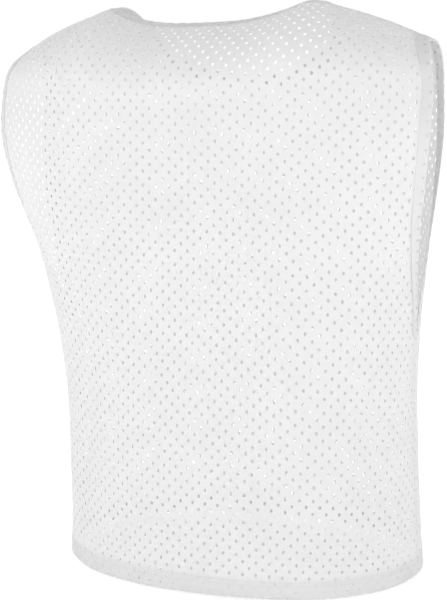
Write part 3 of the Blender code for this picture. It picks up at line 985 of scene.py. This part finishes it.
def add_floor():
    """A white floor, with painted shade under the bib: it glows less in an oval there."""
    material = bpy.data.materials.new("studio_white")
    material.use_nodes = True
    nodes, links = material.node_tree.nodes, material.node_tree.links
    shader = nodes["Principled BSDF"]
    shader.inputs["Base Color"].default_value = (0.85, 0.85, 0.85, 1)
    shader.inputs["Roughness"].default_value = 0.9
    shader.inputs["Emission Color"].default_value = (1, 1, 1, 1)
    place = nodes.new("ShaderNodeTexCoord")
    under = nodes.new("ShaderNodeMapping")
    under.vector_type = "TEXTURE"
    under.inputs["Location"].default_value = UNDER_MIDDLE
    under.inputs["Scale"].default_value = UNDER_REACH
    # painted shade: a soft oval under the bib, where the floor's glow falls, stands in for the bib's
    # shadow
    painted_shade = nodes.new("ShaderNodeTexGradient")
    painted_shade.gradient_type = "SPHERICAL"
    glow = nodes.new("ShaderNodeMapRange")
    glow.inputs["From Max"].default_value = UNDER_EDGE
    glow.inputs["To Min"].default_value = FLOOR_GLOW
    glow.inputs["To Max"].default_value = PAINTED_SHADE_GLOW
    links.new(place.outputs["Object"], under.inputs["Vector"])
    links.new(under.outputs["Vector"], painted_shade.inputs["Vector"])
    links.new(painted_shade.outputs["Fac"], glow.inputs["Value"])
    links.new(glow.outputs["Result"], shader.inputs["Emission Strength"])
    bpy.ops.mesh.primitive_circle_add(
        vertices=96, radius=FLOOR_RADIUS, fill_type="NGON", location=(0, 0, FLOOR_HEIGHT)
    )
    floor = bpy.context.object
    floor.name = "studio_floor"
    floor.data.materials.append(material)


def add_area_light(lamp):
    azimuth, elevation = np.radians(lamp.azimuth), np.radians(lamp.elevation)
    way = Vector(
        (
            np.sin(azimuth) * np.cos(elevation),
            -np.cos(azimuth) * np.cos(elevation),
            np.sin(elevation),
        )
    )
    light = bpy.data.lights.new(lamp.name, "AREA")
    light.shape = "DISK"
    light.size = lamp.size
    light.energy = lamp.power
    obj = bpy.data.objects.new(lamp.name, light)
    bpy.context.scene.collection.objects.link(obj)
    obj.location = LIGHT_AIM + way * lamp.distance
    obj.rotation_euler = (-way).to_track_quat("-Z", "Y").to_euler()


def add_sky():
    """A white sky, dimmer overhead than round the sides, that the camera sees as plain white."""
    world = bpy.data.worlds.new("studio")
    world.use_nodes = True
    nodes, links = world.node_tree.nodes, world.node_tree.links
    place = nodes.new("ShaderNodeTexCoord")
    split = nodes.new("ShaderNodeSeparateXYZ")
    height = nodes.new("ShaderNodeMapRange")
    height.inputs["To Min"].default_value = SKY_SIDES
    height.inputs["To Max"].default_value = SKY_TOP
    seen = nodes.new("ShaderNodeLightPath")
    light = nodes["Background"]
    plain = nodes.new("ShaderNodeBackground")
    mix = nodes.new("ShaderNodeMixShader")
    links.new(place.outputs["Generated"], split.inputs["Vector"])
    links.new(split.outputs["Z"], height.inputs["Value"])
    links.new(height.outputs["Result"], light.inputs["Strength"])
    links.new(seen.outputs["Is Camera Ray"], mix.inputs["Fac"])
    links.new(light.outputs["Background"], mix.inputs[1])
    links.new(plain.outputs["Background"], mix.inputs[2])
    links.new(mix.outputs["Shader"], nodes["World Output"].inputs["Surface"])
    for background in (light, plain):
        background.inputs["Color"].default_value = (1, 1, 1, 1)
    bpy.context.scene.world = world
    bpy.context.scene.view_settings.view_transform = "Standard"


def add_lights():
    add_sky()
    for lamp in LAMPS:
        add_area_light(lamp)


def add_camera():
    data = bpy.data.cameras.new("camera")
    data.sensor_width = SENSOR
    data.lens = FOCAL
    camera = bpy.data.objects.new("camera", data)
    bpy.context.scene.collection.objects.link(camera)
    x, y = np.sin(AZIMUTH) * DISTANCE, ORBIT_Y - np.cos(AZIMUTH) * DISTANCE
    eye = Vector((x, y, EYE_HEIGHT))
    turn = (AIM - eye).to_track_quat("-Z", "Y").to_matrix().to_4x4()
    camera.matrix_world = Matrix.Translation(eye) @ turn @ Matrix.Rotation(-ROLL, 4, "Z")
    bpy.context.scene.camera = camera


# ---------------------------------------------------------------- assembly


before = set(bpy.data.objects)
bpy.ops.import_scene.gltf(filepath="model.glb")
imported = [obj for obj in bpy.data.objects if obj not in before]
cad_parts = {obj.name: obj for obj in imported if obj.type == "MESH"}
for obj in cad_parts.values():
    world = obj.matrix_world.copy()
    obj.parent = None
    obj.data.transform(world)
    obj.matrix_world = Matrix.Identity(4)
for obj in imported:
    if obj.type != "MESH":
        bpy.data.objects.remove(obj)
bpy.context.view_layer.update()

mesh_knit = knit_material("mesh_knit", tone=0.945, roughness=0.75, through=0.46)
strip_knit = knit_material("strip_knit", tone=0.945, roughness=0.78, through=0.60)
armhole_knit = knit_material("armhole_knit", tone=0.94, roughness=0.78, through=0.38)
thread = thread_material()

cloths = {side: panel_cloth(side, mesh_knit) for side in ("back", "front")}
strips = [
    neck_strip(strip_knit),
    armhole_strip("armhole_strip_left", 1, armhole_knit),
    armhole_strip("armhole_strip_right", -1, armhole_knit),
]
sewing = {}
for side in cloths:
    sewing[side] = stitch_rows(f"{side}_stitches", hem_rows(side) + strip_seam_rows(side), thread)
seams = [
    side_allowance("side_seam_left", 1, strip_knit),
    side_allowance("side_seam_right", -1, strip_knit),
    shoulder_allowance("shoulder_seam_left", 1, strip_knit),
    shoulder_allowance("shoulder_seam_right", -1, strip_knit),
]

for side, cloth in cloths.items():
    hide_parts(f"{side}_panel")
for strip, node in zip(strips, ("neck_band", "armhole_band_left", "armhole_band_right")):
    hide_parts(node)
for piece in [*cloths.values(), *strips, *sewing.values(), *seams]:
    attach(piece, "root")

add_floor()
add_lights()
add_camera()
